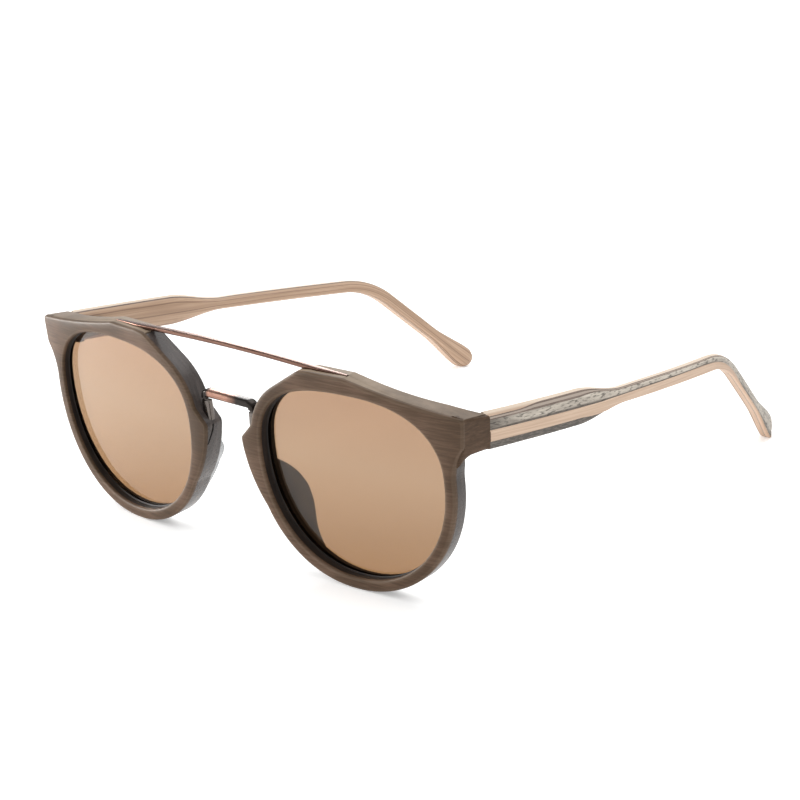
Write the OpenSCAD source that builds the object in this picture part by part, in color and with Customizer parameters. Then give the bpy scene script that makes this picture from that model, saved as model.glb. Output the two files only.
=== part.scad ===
// Wooden sunglasses with a metal brow bar, a metal bridge and folding laminated temples.
// Millimetres. X runs across the face, Y from the front to the temple tips, Z up from the table.
// The origin is on the table, in the middle of the footprint.

/* [Lenses] */
// Width of one lens opening
lens_w = 52; // [49:0.5:55]
// Height of one lens opening
lens_h = 45.4; // [43:0.2:48]
// Width between the two openings, across the nose
lens_gap = 24; // [22.5:0.5:26]
// Thickness of a lens
lens_t = 1.5; // [1.2:0.1:1.7]

/* [Front] */
// Width of the rim around an opening
rim_w = 2.8; // [2.5:0.1:3.2]
// Depth of the front beside the nose
front_t = 6.2; // [6:0.1:6.8]
// Thickness of the wooden face
face_t = 1; // [0.8:0.1:1.1]
// Thickness of the wood on top of the brow, behind the face
cap_t = 1.3; // [1.2:0.1:1.5]
// Radius of the wrapped face, seen from above
wrap_r = 405; // [385:5:430]
// Forward lean of the front, in degrees
lean = 4.6; // [3.8:0.2:5.4]
// Height of the brow above the openings
brow_rise = 4; // [3.6:0.1:4.6]
// Depth of the endpiece behind the face, to the temple
endpiece_d = 8.4; // [8:0.2:10]

/* [Metal] */
// Height of the brow bar
bar_h = 1.1; // [1:0.1:1.2]
// Depth of the brow bar
bar_d = 1.6; // [1.5:0.1:2]
// Rise of the brow bar's arch between its ends
bar_rise = 1.2; // [0.9:0.1:1.5]
// Height of the bridge strip
bridge_h = 2; // [1.8:0.1:2.4]
// Depth of the bridge strip
bridge_d = 2.6; // [2.2:0.1:3]
// Diameter of a hinge screw
screw_d = 1.2; // [1:0.1:1.4]

/* [Nose pads] */
// Thickness of a nose pad
pad_t = 2.4; // [2:0.1:2.8]
// Reach of a nose pad behind the front
pad_reach = 5.5; // [4.5:0.5:7]
// Height of a nose pad
pad_h = 21.5; // [19:0.5:23]

/* [Temples] */
// Length of the straight part of a temple
arm_len = 97; // [90:1:102]
// Height of a temple at the hinge
arm_h = 8; // [7.6:0.1:8.4]
// Height of the slim part of a temple
slim_h = 3.3; // [3:0.1:4]
// Fall of the straight part, in degrees
arm_fall = 5.6; // [4.8:0.1:6.2]
// Slope of the drop behind the ear, in degrees
drop_slope = 40.5; // [36:0.5:46]
// Radius of the bend over the ear
ear_r = 30; // [24:1:36]
// Radius of the rounded tip
tip_r = 3; // [2.6:0.1:3.4]
// Radius of the inward curve of a temple, seen from above
curve_r = 520; // [490:5:560]

/* [Hidden] */
$fn = 96;

// Lens openings: two half superellipses that meet at the widest level
waist = 0.6;
top_power = 2.5;
low_power = 2.1;
outline_n = 72;
lens_x = (lens_gap + lens_w)/2;
waist_z = rim_w + lens_h*waist;
open_top = rim_w + lens_h;

// Brow, endpiece corner and nose lug of the front outline
bar_over = 0.4;
brow_run = 12.5;
brow_dip = 0.4;
brow_z = open_top + brow_rise;
bar_end = lens_x + bar_over;
cap_over = 2;
brow_in = [lens_x - brow_run, brow_z - brow_dip];
shoulder_a = 133;
shoulder = lens_point(shoulder_a, rim_w);
brow_flat = 9.5;
brow_bow = 0.5;
corner_out = 6;
corner_dip = 1;
corner_x = lens_gap/2 + lens_w + corner_out;
corner_z = open_top - corner_dip;
flare_in = 0.4;
flare_h = 6.6;
flare = [corner_x - flare_in, corner_z - flare_h];
flare_a = 4;
flare_bow = 0.7;
lug_root_a = 173;
lug_foot_a = 208;
lug_foot = lens_point(lug_foot_a, rim_w);
lug_out = 6;
lug_up = 1.9;
lug_tip = [lens_gap/2 - lug_out, waist_z + lug_up];
lug_bow = -1.26;
ring_step = 5;

// Depth of the front: the back and the lenses wrap less than the face, so the rims thin outwards
back_r = 780;
lens_r = 600;
lens_set = 1.5;
groove = 0.9;
lens_play = 0.05;
tall = 80;
deep = 40;
below = 5;
wrap_fn = 900;
lift = -sag(wrap_r, lens_x)*sin(lean);

// Metal of the front: the bar is an arc that ends flush with the brow
bar_y = 3.2;
bar_taper = 8;
bar_tip = 0.7;
bar_proud = 0.1;
bar_top = brow_z + bar_proud + bar_rise;
arch_r = (bar_end*bar_end + bar_rise*bar_rise)/(2*bar_rise);
bar_pin_d = 0.9;
bar_pin_in = 7;
bar_pin_x = lens_x - bar_pin_in;
bar_pin_up = 0.7;
bar_pin_down = 1.8;
bridge_y = 2.2;
bridge_dip = 7.7;
bridge_top = open_top - bridge_dip;
leg_t = 1.8;
leg_in = 3.2;
foot_in = 1.8;
leg_high = [lens_gap/2 - leg_in, bridge_top];
leg_low = [leg_high[0], lug_tip[1] - foot_in];
leg_taper = 0.2;
leg_bend = 2;
bridge_pin_d = 1;
foot_pin = 1.1;
bridge_pin_z = leg_low[1] + foot_pin;
bridge_pin_l = 0.8;

// Nose pads, splayed and leaning along the nose edge of the rim
pad_splay = 25;
pad_n = 28;
pad_power = 2.3;
pad_root = 3;
pad_dip = 0.7;
pad_mid = lug_foot - [0, pad_dip];
pad_lean = 30.5;
pad_in = 1.4;

// Temple side view: a straight fall, a bend over the ear and a drop to a round tip
butt_gap = 0.12;
corner_y = sag(wrap_r, corner_x)*cos(lean) - corner_z*sin(lean);
butt_y = corner_y + endpiece_d;
arm_y = butt_y + butt_gap;
arm_dip = 4.3;
arm_z = corner_z - arm_dip;
bend_len = ear_r*(drop_slope - arm_fall)*PI/180;
bend_y = arm_y + arm_len*cos(arm_fall);
bend_z = arm_z - arm_len*sin(arm_fall);
drop_y = bend_y + ear_r*(sin(drop_slope) - sin(arm_fall));
drop_z = bend_z - ear_r*(cos(arm_fall) - cos(drop_slope));
drop_len = (drop_z - tip_r)/sin(drop_slope);
path_len = arm_len + bend_len + drop_len;
tip_y = drop_y + drop_len*cos(drop_slope);
taper_from = 33;
taper_to = 52;
flare_len = 16;
side_n = 8;
tip_n = 12;

// Temple plies, counted from the outer face inwards
veneer_t = 0.4;
grey_t = 0.9;
line_t = 0.3;
core_t = 1.35;
inner_t = 0.95;
grey_at = veneer_t;
line_at = grey_at + grey_t;
core_at = line_at + line_t;
inline_at = core_at + core_t;
inner_at = inline_at + line_t;
arm_t = inner_at + inner_t;
full = 1;
free = 99;
veneer_up = 0.08;
veneer_low = 2.6;
grey_up = 0.74;
inner_up = 0.85;
inner_low = 3.3;

// Temple plan view: the outer face is an arc that runs parallel to Y at the apex
arm_out = 1.3;
apex_run = 18.5;
arm_x = corner_x + arm_out;
apex_y = butt_y + apex_run;
seat_x = arm_x - arm_t;
butt_x = arm_x - sag(curve_r, apex_y - butt_y);

// Hinges: five knuckles on a vertical screw just inside the joint, below the temple's middle
hinge_dip = 1;
leaf_t = 1;
leaf_h = 4.4;
knuckles = 5;
knuckle_gap = 0.06;
barrel_r = 1.3;
screw_play = 0.04;
pin_in = 1.7;
pin_x = seat_x - pin_in;
pin_y = butt_y + butt_gap/2;
leaf_play = 0.1;
leaf_off = barrel_r + leaf_play;
knuckle_h = (leaf_h - (knuckles - 1)*knuckle_gap)/knuckles;
front_leaf_l = 3.2;
arm_leaf_l = 6.5;
arm_step = 0.5;
head_r = 1.1;
head_h = 0.5;
rivet_d = 1;
rivet_in = 1.6;
rivet_play = 0.02;
rivet_z = 1.2;
rivet_y = [2, 5];

// Middle of the footprint, from the foremost point of the brow to the temple tips
brow_slope = (brow_in[1] - shoulder[1])/(brow_in[0] - shoulder[0]);
fore_x = wrap_r*tan(lean)*brow_slope;
fore_z = shoulder[1] + (fore_x - shoulder[0])*brow_slope;
fore_y = sag(wrap_r, fore_x)*cos(lean) - fore_z*sin(lean);
mid_y = (fore_y + tip_y + tip_r)/2;

wood = [0.29, 0.21, 0.16];
acetate = [0.16, 0.16, 0.17];
amber = [0.62, 0.42, 0.26];
copper = [0.72, 0.45, 0.36];
gunmetal = [0.33, 0.31, 0.3];
tan_ply = [0.79, 0.62, 0.47];
grey_ply = [0.47, 0.47, 0.45];
dark_ply = [0.27, 0.19, 0.14];

// Depth of an arc of radius r at a distance x from its apex
function sag(r, x) = r - sqrt(r*r - x*x);

// Eased step from 0 to 1
function ease(t) = let (c = min(1, max(0, t))) c*c*(3 - 2*c);

// Underside of the brow bar at a distance x from its middle
function bar_low(x) = bar_top - bar_h - sag(arch_r, x);

// Curve from a to c that bows sideways by b at its middle
function bowed(a, c, b, n) = [for (i = [0:n]) let (
    t = i/n,
    d = c - a,
    side = [-d[1], d[0]]/norm(d)
    ) a + d*t + side*4*b*t*(1 - t)];

// Brow line from the corner of the endpiece to the shoulder
function brow_path() = concat(bowed([corner_x, corner_z], [bar_end, brow_z], brow_bow, side_n),
    [[lens_x - brow_flat, brow_z], brow_in]);

// Signed power that turns a circle into a superellipse
function swell(v, m) = sign(v)*pow(abs(v), 2/m);

// Point of a lens outline at angle a, moved out by g along the outline's normal
function lens_point(a, g) = let (
    m = sin(a) >= 0 ? top_power : low_power,
    half_w = lens_w/2,
    half_h = lens_h*(sin(a) >= 0 ? 1 - waist : waist),
    x = swell(cos(a), m)*half_w,
    z = swell(sin(a), m)*half_h,
    nx = sign(x)*pow(abs(x)/half_w, m - 1)/half_w,
    nz = sign(z)*pow(abs(z)/half_h, m - 1)/half_h
    ) [lens_x + x, waist_z + z] + [nx, nz]*g/norm([nx, nz]);

function lens_outline(g) = [for (i = [0:outline_n - 1]) lens_point(360*i/outline_n, g)];

// Stretch of the rim's outer edge that follows the opening
function ring(from, to) = [for (a = [from:ring_step:to - ring_step/2]) lens_point(a, rim_w)];

// Corner b of a path a, b, c rounded with radius r
function corner(a, b, c, r, n) = let (
    u = (a - b)/norm(a - b),
    v = (c - b)/norm(c - b),
    half = acos(u*v)/2,
    mid = b + (u + v)/norm(u + v)*r/sin(half),
    p = b + u*r/tan(half) - mid,
    q = b + v*r/tan(half) - mid,
    turn = acos(p*q/(r*r)),
    way = p[0]*q[1] - p[1]*q[0] > 0 ? 1 : -1
    ) [for (i = [0:n]) let (k = way*turn*i/n)
        mid + [p[0]*cos(k) - p[1]*sin(k), p[0]*sin(k) + p[1]*cos(k)]];

// Temple centre line at length s: position in the side view and slope
function arm_slope(s) = s <= arm_len ? arm_fall
    : min(drop_slope, arm_fall + (s - arm_len)/ear_r*180/PI);
function arm_at(s) = s <= arm_len ? [arm_y + s*cos(arm_fall), arm_z - s*sin(arm_fall)]
    : s <= arm_len + bend_len ? [bend_y + ear_r*(sin(arm_slope(s)) - sin(arm_fall)),
        bend_z - ear_r*(cos(arm_fall) - cos(arm_slope(s)))]
    : [drop_y, drop_z] + (s - arm_len - bend_len)*[cos(drop_slope), -sin(drop_slope)];
function arm_half(s) = arm_h/2 + (slim_h - arm_h)/2*ease((s - taper_from)/(taper_to - taper_from))
    + (tip_r - slim_h/2)*ease((s - path_len + flare_len)/flare_len);
function arm_normal(s) = s == 0 ? [0, 1/cos(arm_fall)] : [sin(arm_slope(s)), cos(arm_slope(s))];

// Lengths at which the side outline needs a point
arm_steps = concat([0],
    [for (i = [0:side_n]) taper_from + (taper_to - taper_from)*i/side_n],
    [for (i = [0:side_n]) arm_len + bend_len*i/side_n],
    [for (i = [0:side_n - 1]) path_len - flare_len*(1 - i/side_n)]);

// Side outline of one ply: shares of the temple's half height, kept within up_max and low_max
function ply_up(s, up, up_max) = min(up*arm_half(s), up_max);
function ply_low(s, low, low_max) = min(low*arm_half(s), low_max);
function ply_outline(up, up_max, low, low_max) = let (
    last = len(arm_steps) - 1,
    d = [cos(drop_slope), -sin(drop_slope)],
    n = [sin(drop_slope), cos(drop_slope)],
    top = ply_up(path_len, up, up_max),
    base = ply_low(path_len, low, low_max)
    ) concat(
    [for (s = arm_steps) arm_at(s) + arm_normal(s)*ply_up(s, up, up_max)],
    [for (i = [0:tip_n]) let (k = 90 - 180*i/tip_n)
        arm_at(path_len) + d*cos(k)*(top + base)/2 + n*sin(k)*(k > 0 ? top : base)],
    [for (i = [0:last]) let (s = arm_steps[last - i])
        arm_at(s) - arm_normal(s)*ply_low(s, low, low_max)]);

// Frames: the object on the table, the leaning front, and the two sides
module on_table() translate([0, -mid_y, 0]) children();
module on_front() on_table() translate([0, 0, lift]) rotate([lean, 0, 0]) children();
module right() mirror([1, 0, 0]) children();

// Front view shape, extruded through the depth of the front
module through() translate([0, deep, 0]) rotate([90, 0, 0]) linear_extrude(deep + below) children();

// Upright cylinder, with its apex at depth y, that bounds the front
module wrap_body(r, y) translate([0, y + r, -below]) cylinder(r = r, h = tall, $fn = wrap_fn);
module behind_face() wrap_body(wrap_r - face_t, face_t);
module behind_back() wrap_body(back_r, front_t);
module behind_lens(set) wrap_body(lens_r + set, front_t - set);

// Strip along the brow that is wood through the depth of the front
module brow_strip() {
    path = brow_path();
    polygon(concat([for (p = path) p - [0, cap_t]],
        [for (i = [len(path) - 1:-1:0]) path[i] + [0, cap_over]]));
}

// Outer outline of one rim: round below, then endpiece flare, brow, shoulder and nose lug
module rim_outline() difference() {
    polygon(concat(ring(lug_foot_a, 360 + flare_a),
        bowed(lens_point(flare_a, rim_w), flare, flare_bow, side_n),
        brow_path(),
        ring(shoulder_a, lug_root_a),
        bowed(lug_tip, lug_foot, lug_bow, side_n)));
    polygon(lens_outline(0));
}

// Space of the wooden endpiece, behind the face and inside the corner
module endpiece_space() on_table() intersection() {
    translate([seat_x, 0, 0]) rotate([90, 0, 90]) linear_extrude(arm_x - seat_x)
        polygon([[-deep, arm_z - arm_h/2], [butt_y, arm_z - arm_h/2],
            [butt_y, arm_z + arm_h/2], [corner_y, corner_z], [-deep, corner_z]]);
    linear_extrude(tall) polygon([[seat_x, -deep], [corner_x, -deep], [corner_x, corner_y],
        [butt_x, butt_y], [seat_x, butt_y]]);
}

// Endpiece before its rivets are set
module endpiece_block() intersection() {
    endpiece_space();
    on_front() behind_face();
}

// Wooden face, which reaches over the brow to the back of the front
module rim_face() color(wood) difference() {
    on_front() difference() {
        intersection() {
            through() rim_outline();
            wrap_body(wrap_r, 0);
        }
        difference() {
            behind_face();
            through() brow_strip();
        }
        behind_back();
        bar_body();
        bar_pin();
    }
    endpiece_block();
}

module lens_body(grow, play) intersection() {
    through() polygon(lens_outline(grow));
    difference() {
        behind_lens(lens_set + lens_t + play);
        behind_lens(lens_set - play);
    }
}

module rim_back() color(acetate) difference() {
    on_front() difference() {
        intersection() {
            through() rim_outline();
            behind_face();
        }
        behind_back();
        through() brow_strip();
        lens_body(groove, lens_play);
        bar_pin();
        bridge_body();
        bridge_pin();
    }
    endpiece_space();
}

module lens() color(amber) on_front() lens_body(groove - lens_play, 0);

module nose_pad() color(acetate) on_front() intersection() {
    translate([pad_mid[0] + pad_in, front_t, pad_mid[1]]) rotate([0, -pad_lean, 0])
        rotate([0, 0, -pad_splay]) rotate([90, 0, 90]) linear_extrude(pad_t)
        polygon([for (i = [0:pad_n - 1]) let (a = 360*i/pad_n)
            [swell(cos(a), pad_power)*(cos(a) > 0 ? pad_reach : pad_root),
            swell(sin(a), pad_power)*pad_h/2]]);
    behind_back();
}

module endpiece() color(wood) difference() {
    endpiece_block();
    front_rivets(rivet_play);
}

// Brow bar: an arched strip with narrowed ends let into the rims
module arch_body(r) translate([0, -below, bar_top - arch_r]) rotate([-90, 0, 0])
    cylinder(r = r, h = deep, $fn = wrap_fn);

module bar_body() difference() {
    intersection() {
        translate([0, 0, open_top]) linear_extrude(deep)
            polygon([[-bar_end, bar_y + bar_d - bar_tip], [-bar_end + bar_taper, bar_y],
                [bar_end - bar_taper, bar_y], [bar_end, bar_y + bar_d - bar_tip],
                [bar_end, bar_y + bar_d], [-bar_end, bar_y + bar_d]]);
        arch_body(arch_r);
    }
    arch_body(arch_r - bar_h);
}

module bar_pin() translate([bar_pin_x, bar_y + bar_d/2, bar_low(bar_pin_x) - bar_pin_down])
    cylinder(d = bar_pin_d, h = bar_pin_down + bar_pin_up);

module brow_bar() color(copper) on_front() difference() {
    bar_body();
    bar_pin();
    right() bar_pin();
}

module brow_bar_pins() color(gunmetal) on_front() {
    bar_pin();
    right() bar_pin();
}

// Bridge: a strip bent down into two feet that stand in the nose edges of the rims
module bridge_body() {
    toe = leg_low - [leg_t, 0];
    crook = [leg_high[0] - leg_t - leg_taper, bridge_top - bridge_h];
    half = concat([leg_low], corner(leg_low, leg_high, [0, bridge_top], leg_bend, side_n));
    under = concat(corner([0, crook[1]], crook, toe, leg_bend/2, side_n), [toe]);
    back_half = [for (i = [0:len(half) - 1]) let (p = half[len(half) - 1 - i]) [-p[0], p[1]]];
    back_under = [for (i = [0:len(under) - 1]) let (p = under[len(under) - 1 - i]) [-p[0], p[1]]];
    translate([0, bridge_y + bridge_d, 0]) rotate([90, 0, 0]) linear_extrude(bridge_d)
        polygon(concat(half, back_half, back_under, under));
}

module bridge_pin() translate([leg_low[0] - leg_t/2, bridge_y + bridge_d/2, bridge_pin_z])
    rotate([0, 90, 0]) cylinder(d = bridge_pin_d, h = leg_t + bridge_pin_l);

module bridge() color(copper) on_front() difference() {
    bridge_body();
    bridge_pin();
    right() bridge_pin();
}

module bridge_pins() color(gunmetal) on_front() {
    bridge_pin();
    right() bridge_pin();
}

// Hinges
module at_pin() on_table() translate([pin_x, pin_y, arm_z - hinge_dip]) children();
function knuckle_z(i) = -leaf_h/2 + i*(knuckle_h + knuckle_gap);

// Knuckles first, first + 2 and so on, each with an arm that runs forward or back to its leaf
module knuckle_set(first, way) for (i = [first:2:knuckles - 1]) translate([0, 0, knuckle_z(i)]) {
    cylinder(r = barrel_r, h = knuckle_h);
    translate([0, way > 0 ? 0 : -leaf_off - arm_step, 0])
        cube([barrel_r, leaf_off + arm_step, knuckle_h]);
}

module screw_hole() translate([0, 0, -leaf_h]) cylinder(d = screw_d + 2*screw_play, h = 2*leaf_h);

module leaf_plate(from, l) translate([seat_x - pin_x - leaf_t, from, -leaf_h/2]) cube([leaf_t, l, leaf_h]);

module rivet(play) rotate([0, 90, 0]) cylinder(d = rivet_d + 2*play, h = leaf_t + rivet_in);

module front_rivets(play) at_pin() for (z = [-rivet_z, rivet_z])
    translate([seat_x - pin_x - leaf_t, -leaf_off - front_leaf_l/2, z]) rivet(play);

module temple_rivets_body(play) at_pin() for (y = rivet_y)
    translate([seat_x - pin_x - leaf_t, leaf_off + y, 0]) rivet(play);

module front_leaf() color(gunmetal) difference() {
    at_pin() difference() {
        union() {
            leaf_plate(-leaf_off - front_leaf_l, front_leaf_l);
            knuckle_set(0, -1);
        }
        screw_hole();
    }
    front_rivets(rivet_play);
}

module temple_leaf() color(gunmetal) difference() {
    at_pin() difference() {
        union() {
            leaf_plate(leaf_off, arm_leaf_l);
            knuckle_set(1, 1);
        }
        screw_hole();
    }
    temple_rivets_body(rivet_play);
}

module front_leaf_rivets() color(gunmetal) {
    front_rivets(0);
    right() front_rivets(0);
}

module temple_rivets() color(gunmetal) temple_rivets_body(0);

module hinge_screw() at_pin() {
    translate([0, 0, -leaf_h/2]) cylinder(d = screw_d, h = leaf_h);
    translate([0, 0, leaf_h/2]) cylinder(r = head_r, h = head_h);
}

module hinge_screws() color(gunmetal) {
    hinge_screw();
    right() hinge_screw();
}

// Temple plies: a side outline cut from a curved sheet
module sheet_side(at) translate([arm_x - curve_r, apex_y, -below])
    cylinder(r = curve_r - at, h = tall, $fn = wrap_fn);

module ply(at, t, up, up_max, low, low_max) difference() {
    on_table() intersection() {
        rotate([90, 0, 90]) linear_extrude(arm_x + deep)
            polygon(ply_outline(up, up_max, low, low_max));
        difference() {
            sheet_side(at);
            sheet_side(at + t);
        }
    }
    leaf_seat();
    temple_rivets_body(rivet_play);
}

// Flat seat for the hinge leaf on the inner face, open to the joint
module leaf_seat() at_pin() translate([-deep, -deep, -tall])
    cube([deep + seat_x - pin_x, deep + leaf_off + arm_leaf_l, 2*tall]);

module veneer_ply() color(tan_ply) ply(0, veneer_t, veneer_up, free, full, veneer_low);
module grey_band_ply() color(grey_ply) ply(grey_at, grey_t, grey_up, free, full, free);
module outer_line_ply() color(dark_ply) ply(line_at, line_t, full, free, full, free);
module core_ply() color(tan_ply) ply(core_at, core_t, full, free, full, free);
module inner_line_ply() color(dark_ply) ply(inline_at, line_t, full, free, full, free);
module inner_ply() color(tan_ply) ply(inner_at, inner_t, inner_up, free, full, inner_low);

rim_face();  // left_rim_face
right() rim_face();  // right_rim_face
rim_back();  // left_rim_back
right() rim_back();  // right_rim_back
lens();  // left_lens
right() lens();  // right_lens
nose_pad();  // left_nose_pad
right() nose_pad();  // right_nose_pad
endpiece();  // left_endpiece
right() endpiece();  // right_endpiece
brow_bar();
brow_bar_pins();
bridge();
bridge_pins();
front_leaf();  // left_front_leaf
right() front_leaf();  // right_front_leaf
front_leaf_rivets();
hinge_screws();
veneer_ply();  // left_veneer_ply
right() veneer_ply();  // right_veneer_ply
grey_band_ply();  // left_grey_ply
right() grey_band_ply();  // right_grey_ply
outer_line_ply();  // left_outer_line_ply
right() outer_line_ply();  // right_outer_line_ply
core_ply();  // left_core_ply
right() core_ply();  // right_core_ply
inner_line_ply();  // left_inner_line_ply
right() inner_line_ply();  // right_inner_line_ply
inner_ply();  // left_inner_ply
right() inner_ply();  // right_inner_ply
temple_leaf();  // left_temple_leaf
right() temple_leaf();  // right_temple_leaf
temple_rivets();  // left_temple_rivets
right() temple_rivets();  // right_temple_rivets
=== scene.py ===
# %% [markdown]
# # Wooden sunglasses
# The real object is a pair of sunglasses with a wooden face on dark acetate rims, a copper brow bar
# and bridge, brown lenses and laminated wooden temples that fold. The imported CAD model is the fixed
# frame here: it gives the places and the moving bodies, and each cell below adds one dressed piece.

# %% Load the frame
import math
import bmesh
import bpy
import numpy as np
from mathutils import Matrix, Vector


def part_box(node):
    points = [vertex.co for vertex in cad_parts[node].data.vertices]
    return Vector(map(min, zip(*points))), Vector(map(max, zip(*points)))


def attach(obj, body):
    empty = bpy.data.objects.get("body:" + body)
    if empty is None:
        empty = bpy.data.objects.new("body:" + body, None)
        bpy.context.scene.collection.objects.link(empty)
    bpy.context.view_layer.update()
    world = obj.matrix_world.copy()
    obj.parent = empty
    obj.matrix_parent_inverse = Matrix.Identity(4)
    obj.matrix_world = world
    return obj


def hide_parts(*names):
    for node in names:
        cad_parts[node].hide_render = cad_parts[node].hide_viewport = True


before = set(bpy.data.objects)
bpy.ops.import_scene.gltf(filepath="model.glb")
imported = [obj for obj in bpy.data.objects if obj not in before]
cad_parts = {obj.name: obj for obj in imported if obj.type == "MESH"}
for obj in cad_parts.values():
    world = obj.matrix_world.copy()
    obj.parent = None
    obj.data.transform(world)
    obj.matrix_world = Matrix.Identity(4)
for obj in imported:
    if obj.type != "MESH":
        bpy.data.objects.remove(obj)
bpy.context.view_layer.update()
MM = 0.001

# %% [markdown]
# ## The leaning front
# The front of the glasses leans forward by a few degrees and wraps around the face. It is easier to
# draw it upright, with x across, y to the back and h up, and to lean the finished points. The bar's
# box in the frame says where the upright drawing stands on the table.

# %% The front's own frame
LEAN = math.radians(4.6)
WRAP_R, BACK_R, LENS_R = 405.0, 600.0, 460.0
LENS_W, LENS_H, LENS_GAP, LOW_SHARE = 52.0, 45.4, 24.0, 0.6
RIM_W, FRONT_T, FACE_T, LENS_T, LENS_SET, BROW_RISE = 2.8, 6.2, 1.0, 1.5, 1.5, 4.0
LENS_X = (LENS_GAP + LENS_W)/2
WAIST_H = RIM_W + LOW_SHARE*LENS_H
BROW_H = RIM_W + LENS_H + BROW_RISE
BAR_Y, BAR_D, BAR_H, BAR_RISE, BAR_PROUD = 3.2, 1.6, 1.1, 1.2, 0.1
BAR_TOP = BROW_H + BAR_PROUD + BAR_RISE


def sag(r, x):
    return r - np.sqrt(r*r - x*x)


lift = -float(sag(WRAP_R, LENS_X))*math.sin(LEAN)
apex_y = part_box("brow_bar")[0][1]/MM - BAR_Y*math.cos(LEAN) + BAR_TOP*math.sin(LEAN)
LEANING = Matrix.Translation((0, apex_y*MM, lift*MM)) @ Matrix.Rotation(LEAN, 4, "X")


def on_front(x, y, h):
    c, s = math.cos(LEAN), math.sin(LEAN)
    return np.stack([x, y*c - h*s + apex_y, y*s + h*c + lift], -1)*MM


def bowl(depth, r):
    return lambda x: depth + sag(r, x)


def laid(points, surface, behind=0):
    """Points of the drawing laid on a depth surface, or some millimetres behind it."""
    return on_front(points[:, 0], surface(points[:, 0]) + behind, points[:, 1])


face, back = bowl(0, WRAP_R), bowl(FRONT_T, BACK_R)
lens_front = bowl(FRONT_T - LENS_SET - LENS_T, LENS_R)
print("Apex of the face at y = %.2f mm, front lifted by %.2f mm" % (apex_y, lift))

# %% [markdown]
# ## Outlines of the rims
# Each opening is two half superellipses that meet at the widest level: flatter above, rounder below.
# The outer edge follows it at one rim's width, and leaves it for the endpiece, the straight brow and
# the lug beside the nose. Tracing points by eye would also do, but a rule keeps both edges smooth.
# The sharp corners are then averaged a little, as sanding does.

# %% Draw the outlines
ROUND_N = 480
UPPER_POWER, LOWER_POWER = 2.5, 2.1


def opening(degrees, out=0.0):
    """Points of the opening at these angles, moved outward by some millimetres."""
    a = np.radians(degrees)
    upper = np.sin(a) >= 0
    power = np.where(upper, UPPER_POWER, LOWER_POWER)
    halves = LENS_W/2, np.where(upper, 1 - LOW_SHARE, LOW_SHARE)*LENS_H
    x, h = (np.sign(v)*np.abs(v)**(2/power)*half for v, half in zip((np.cos(a), np.sin(a)), halves))
    nx, nh = (np.sign(v)*np.abs(v/half)**(power - 1)/half for v, half in zip((x, h), halves))
    grow = out/np.hypot(nx, nh)
    return np.stack([LENS_X + x + nx*grow, WAIST_H + h + nh*grow], -1)


def bowed(a, b, bow):
    """A line from a to b that stands off the straight one by bow in its middle."""
    a, b = np.array(a, float), np.array(b, float)
    t = np.linspace(0, 1, 24)[:, None]
    side = np.array([a[1] - b[1], b[0] - a[0]])/np.linalg.norm(b - a)
    return a + (b - a)*t + side*4*bow*t*(1 - t)


def lengths(line):
    return np.concatenate([[0], np.cumsum(np.hypot(*np.diff(line, axis=0).T))])


def along(at, run, line):
    """Places on a line at these lengths; run holds the lengths at the line's own points."""
    return np.stack([np.interp(at, run, column) for column in line.T], -1)


def even(points, n):
    """The same closed line with n points at equal distances."""
    loop = np.vstack([points, points[:1]])
    run = lengths(loop)
    return along(np.linspace(0, run[-1], n, endpoint=False), run, loop)


def sanded(points, passes):
    for _ in range(passes):
        points = (np.roll(points, 1, 0) + 2*points + np.roll(points, -1, 0))/4
    return points


CORNER, FLARE, LUG_TIP = (70.0, 47.2), (69.6, 40.6), (6.0, 31.94)
FLARE_AT, BROW_AT, NOSE_AT, LUG_AT = 4.0, 133.0, 169.0, 208.0
FLARE_BOW, BROW_BOW, LUG_BOW = 0.7, 0.5, -1.26
BAR_END, BROW_FROM, BROW_DIP, DIP_RUN = LENS_X + 0.4, LENS_X - 12.5, 0.4, 3.0
lug_curve = bowed(LUG_TIP, opening(LUG_AT, RIM_W), LUG_BOW)
brow_path = np.concatenate([
    bowed(CORNER, (BAR_END, BROW_H), BROW_BOW),
    [[BROW_FROM + DIP_RUN, BROW_H], [BROW_FROM, BROW_H - BROW_DIP]]])
rim_path = np.concatenate([
    opening(np.arange(LUG_AT, 360 + FLARE_AT), RIM_W), bowed(opening(FLARE_AT, RIM_W), FLARE, FLARE_BOW),
    brow_path, opening(np.arange(BROW_AT, NOSE_AT), RIM_W), lug_curve])
rim_edge = sanded(even(rim_path, ROUND_N), 2)
print("Outer edge: %d points, %.1f mm wide" % (len(rim_edge), np.ptp(rim_edge[:, 0])))

# %% [markdown]
# ## Rims: wood on acetate
# A rim is a ring whose cross-section changes little, so it is lofted: every point of the outer edge
# gets its nearest partner on the opening, and rows of points run between the two. The rows carry the
# rounded front edges of the wood, and on the acetate the lip and groove that hold the lens. A plain
# extrusion with a bevel would round every edge alike, and the wrap would be lost.

# %% Match the edges and loft a ring
SIDES = {"left": 1, "right": -1}
pieces = {}


def partners(edge):
    """For each point of the edge, its nearest point on the opening, spread out so that none bunch."""
    degrees = np.linspace(0, 360, 6*ROUND_N, endpoint=False)
    dense = opening(degrees)
    near = np.argmin(np.linalg.norm(edge[:, None] - dense[None], axis=2), axis=1)
    turn = np.unwrap(np.radians(degrees[near]))
    steady = turn[0] + 2*math.pi*np.arange(len(turn))/len(turn)
    return opening(np.degrees(sanded(turn - steady, 40) + steady) % 360)


def marked(name, points, edges, faces, marks):
    """A mesh whose points carry marks, the values that a node tree reads at each point."""
    mesh = bpy.data.meshes.new(name)
    mesh.from_pydata(np.asarray(points).tolist(), list(edges), faces)
    for mark, values in marks.items():
        values = np.asarray(values, dtype=np.float32)
        kind, field = ("FLOAT_VECTOR", "vector") if values.ndim == 2 else ("FLOAT", "value")
        mesh.attributes.new(mark, kind, "POINT").data.foreach_set(field, values.ravel())
    return mesh


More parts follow.
